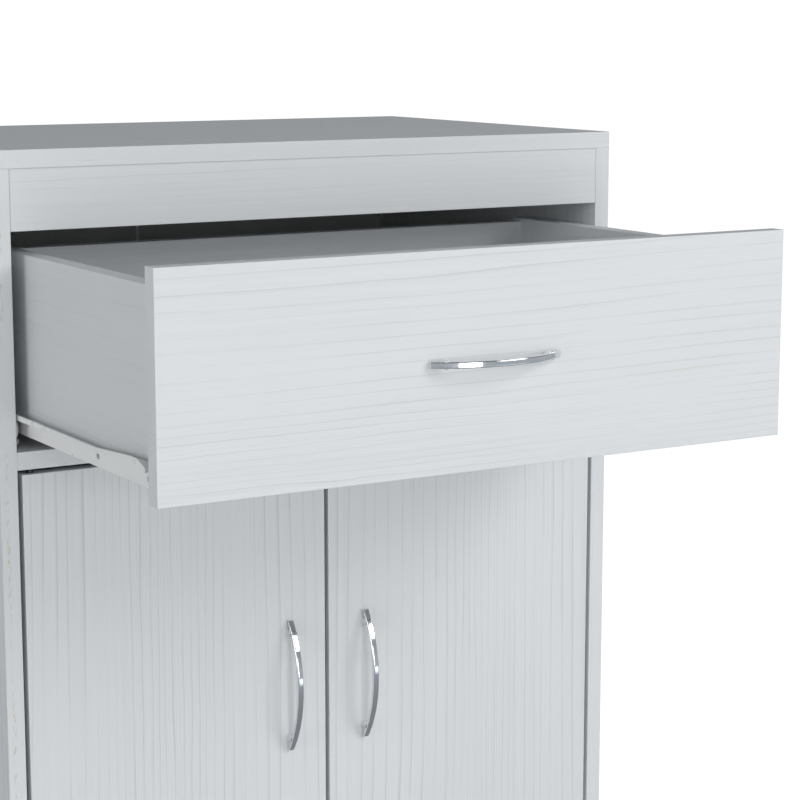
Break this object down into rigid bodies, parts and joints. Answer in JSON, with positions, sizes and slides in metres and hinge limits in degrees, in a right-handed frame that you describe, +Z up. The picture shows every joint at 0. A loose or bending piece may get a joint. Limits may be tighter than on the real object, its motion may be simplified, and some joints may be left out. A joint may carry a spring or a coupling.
{
  "type": "microwave stand with drawer",
  "caption": "Free-standing kitchen stand of white boards: a flat top for a microwave, a wide drawer on roller slides and a cupboard with paired doors, all with bow handles.",
  "frame": {"origin": "middle of the closed cabinet's footprint, on the floor", "axes": "+Z up, the front faces -Y, +X to the right of someone who faces the front"},
  "size_m": [0.6, 0.691, 0.89],
  "materials": {
    "white_laminate": "matt white wood-grain melamine on particle board",
    "grey_hardboard": "smooth painted hardboard",
    "beech": "raw fluted beech",
    "chrome": "bright chrome plate",
    "white_steel": "white epoxy powder coat, semi-gloss",
    "zinc_steel": "zinc-plated steel",
    "white_nylon": "moulded nylon, satin",
    "white_pvc": "extruded plastic, satin",
    "ferrite": "dull sintered ferrite"
  },
  "bodies": {
    "cabinet": {"top_panel": "white_laminate", "left_side_panel": "white_laminate", "right_side_panel": "white_laminate", "front_rail": "white_laminate", "drawer_divider": "white_laminate", "bottom_panel": "white_laminate", "toe_kick": "white_laminate", "adjustable_shelf": "white_laminate", "shelf_pins": "zinc_steel", "back_panel_left": "grey_hardboard", "back_panel_right": "grey_hardboard", "back_joint_strip": "white_pvc", "floor_glides": "white_nylon", "cam_locks": "zinc_steel", "cam_bolts": "zinc_steel", "wood_dowels": "beech", "left_cabinet_slide": "white_steel", "right_cabinet_slide": "white_steel", "cabinet_slide_screws": "zinc_steel", "pivot_bushes": "white_nylon", "catch_housing": "white_nylon", "catch_magnets": "ferrite", "catch_screws": "zinc_steel"},
    "drawer": {"drawer_front": "white_laminate", "drawer_left_side": "white_laminate", "drawer_right_side": "white_laminate", "drawer_back": "white_laminate", "drawer_bottom": "grey_hardboard", "left_drawer_slide": "white_steel", "right_drawer_slide": "white_steel", "drawer_slide_screws": "zinc_steel", "drawer_handle": "chrome", "drawer_handle_screws": "zinc_steel", "drawer_cam_locks": "zinc_steel", "drawer_cam_bolts": "zinc_steel", "drawer_dowels": "beech", "drawer_back_screws": "zinc_steel"},
    "left_door": {"left_door": "white_laminate", "left_door_handle": "chrome", "left_door_handle_screws": "zinc_steel", "left_door_pins": "zinc_steel", "left_strike_plate": "zinc_steel", "left_strike_screw": "zinc_steel"},
    "right_door": {"right_door": "white_laminate", "right_door_handle": "chrome", "right_door_handle_screws": "zinc_steel", "right_door_pins": "zinc_steel", "right_strike_plate": "zinc_steel", "right_strike_screw": "zinc_steel"},
    "left_front_roller": {"left_cabinet_roller": "white_nylon"},
    "right_front_roller": {"right_cabinet_roller": "white_nylon"},
    "left_rear_roller": {"left_drawer_roller": "white_nylon"},
    "right_rear_roller": {"right_drawer_roller": "white_nylon"}
  },
  "joints": [
    {"name": "drawer_slide", "type": "slide", "parent": "cabinet", "child": "drawer", "axis": [0, -1, 0], "range_m": [-0.2685, 0]},
    {"name": "left_door_hinge", "type": "hinge", "parent": "cabinet", "child": "left_door", "pos_m": [-0.272, -0.1925, 0.3555], "axis": [0, 0, 1], "range_deg": [-110, 0]},
    {"name": "right_door_hinge", "type": "hinge", "parent": "cabinet", "child": "right_door", "pos_m": [0.272, -0.1925, 0.3555], "axis": [0, 0, 1], "range_deg": [0, 110]},
    {"name": "left_front_roller_spin", "type": "hinge", "parent": "cabinet", "child": "left_front_roller", "pos_m": [-0.27965, -0.1724, 0.6617], "axis": [1, 0, 0], "range_deg": [-1540, 1]},
    {"name": "left_rear_roller_spin", "type": "hinge", "parent": "drawer", "child": "left_rear_roller", "pos_m": [-0.27965, -0.1155, 0.6604], "axis": [1, 0, 0], "range_deg": [-1621, 1]},
    {"name": "right_front_roller_spin", "type": "hinge", "parent": "cabinet", "child": "right_front_roller", "pos_m": [0.27965, -0.1724, 0.6617], "axis": [1, 0, 0], "range_deg": [-1540, 1]},
    {"name": "right_rear_roller_spin", "type": "hinge", "parent": "drawer", "child": "right_rear_roller", "pos_m": [0.27965, -0.1155, 0.6604], "axis": [1, 0, 0], "range_deg": [-1621, 1]}
  ],
  "couplings": [
    {"joint": "left_front_roller_spin", "follows": "drawer_slide", "rad_per_m": 100},
    {"joint": "left_rear_roller_spin", "follows": "drawer_slide", "rad_per_m": 105.26},
    {"joint": "right_front_roller_spin", "follows": "drawer_slide", "rad_per_m": 100},
    {"joint": "right_rear_roller_spin", "follows": "drawer_slide", "rad_per_m": 105.26}
  ]
}
